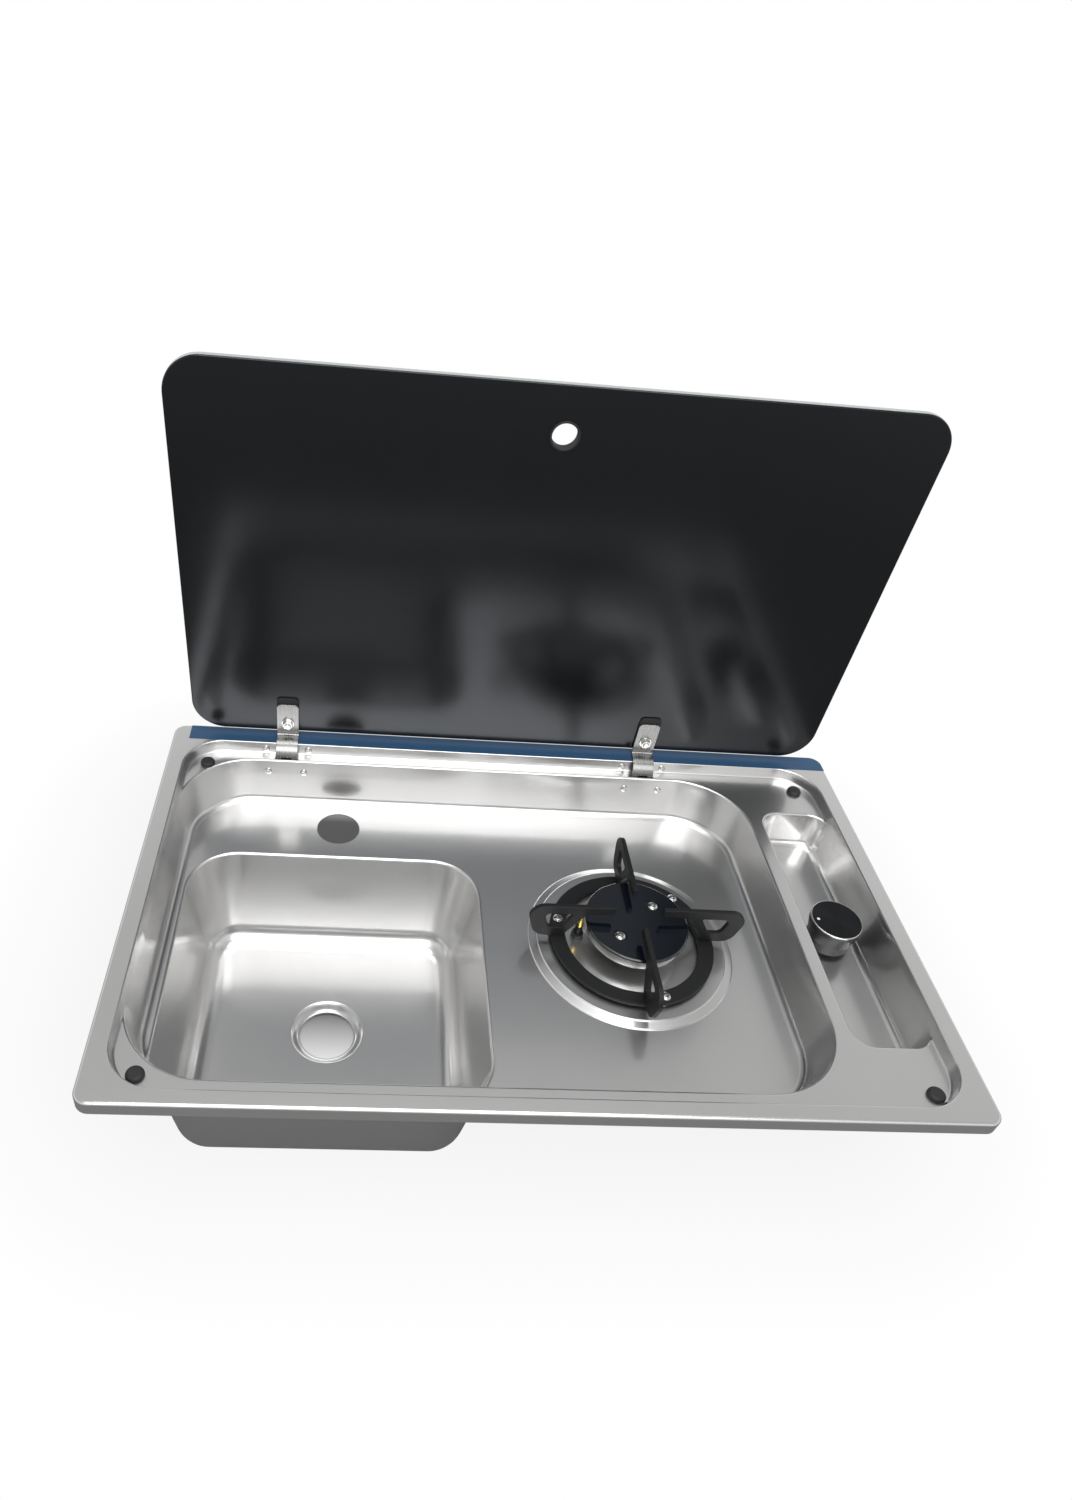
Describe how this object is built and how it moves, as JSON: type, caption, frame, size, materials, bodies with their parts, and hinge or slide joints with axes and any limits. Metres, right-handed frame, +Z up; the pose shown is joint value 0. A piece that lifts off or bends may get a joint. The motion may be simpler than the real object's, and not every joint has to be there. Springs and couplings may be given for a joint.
{
  "type": "hob and sink combo",
  "caption": "Drop-in stainless unit with a hinged black glass lid over a gas burner with its pan support, a square bowl with a tap hole beside it, and a control knob in a trough.",
  "frame": {"origin": "centre of the rim's outline, on the worktop plane that the rim's turned-down edge stands on", "axes": "+X to the right, +Y to the back where the lid is hinged, +Z up"},
  "size_m": [0.59, 0.3716, 0.4765],
  "materials": {
    "stainless": "satin rolled stainless sheet",
    "foam": "closed-cell foam strip",
    "blue_film": "thin blue protective film",
    "black_glass": "toughened glass, black enamel on its lower face, ground edge",
    "black_rubber": "matt rubber",
    "hinge_steel": "rolled stainless strip",
    "bright_steel": "bright steel",
    "zinc_steel": "zinc plated",
    "matt_black_enamel": "matt black enamel",
    "gloss_black_enamel": "gloss black enamel",
    "burner_aluminium": "turned aluminium",
    "fibre_gasket": "pressed fibre",
    "brass": "turned brass",
    "copper": "drawn copper",
    "black_plastic": "moulded plastic with a spun cap",
    "white_print": "white filled dot",
    "valve_alloy": "cast alloy",
    "feed_tube": "drawn tube"
  },
  "bodies": {
    "tray": {"tray_rim": "stainless", "hob_pan": "stainless", "sink_bowl": "stainless", "control_trough": "stainless", "rim_seal": "foam", "protective_film": "blue_film", "hinge_box_left": "zinc_steel", "hinge_box_right": "zinc_steel", "hinge_pin_left": "bright_steel", "hinge_pin_right": "bright_steel", "hinge_spring_left": "bright_steel", "hinge_spring_right": "bright_steel", "hinge_rivets": "bright_steel", "lid_bumpers": "black_rubber", "pan_support": "matt_black_enamel", "support_screws": "bright_steel", "support_spacers": "bright_steel", "burner_cap": "gloss_black_enamel", "cap_screws": "bright_steel", "burner_head": "burner_aluminium", "burner_base": "burner_aluminium", "burner_gasket": "fibre_gasket", "burner_nut": "zinc_steel", "injector": "brass", "injector_holder": "zinc_steel", "flame_sensor": "brass", "sensor_nut": "brass", "sensor_lead": "copper", "valve_body": "valve_alloy", "valve_gasket": "black_rubber", "valve_neck_nut": "zinc_steel", "magnet_unit": "zinc_steel", "magnet_nut": "brass", "feed_pipe": "feed_tube", "feed_nuts": "brass", "inlet_pipe": "feed_tube", "inlet_nut": "brass", "clamp_brackets": "zinc_steel", "clamp_screws": "zinc_steel"},
    "lid": {"glass_lid": "black_glass", "finger_ring": "black_rubber", "hinge_strap_left": "hinge_steel", "hinge_strap_right": "hinge_steel", "hinge_pad_left": "black_rubber", "hinge_pad_right": "black_rubber", "lid_screws": "bright_steel", "lid_nuts": "bright_steel", "lid_washers": "black_rubber"},
    "push_rod": {"valve_plunger": "brass", "valve_spring": "bright_steel"},
    "knob": {"knob": "black_plastic", "knob_marker": "white_print", "valve_stem": "bright_steel"}
  },
  "joints": [
    {"name": "lid_hinge", "type": "hinge", "parent": "tray", "child": "lid", "pos_m": [0, 0.172, -0.0015], "axis": [1, 0, 0], "range_deg": [-5, 87]},
    {"name": "knob_press", "type": "slide", "parent": "tray", "child": "push_rod", "axis": [0, 0, -1], "range_m": [0, 0.0025], "stiffness_N_per_m": 2000, "springref_m": -0.001, "deforming": ["valve_spring"]},
    {"name": "knob_turn", "type": "hinge", "parent": "push_rod", "child": "knob", "pos_m": [0.25085, -0.00275, -0.0145], "axis": [0, 0, 1], "range_deg": [0, 210]}
  ]
}
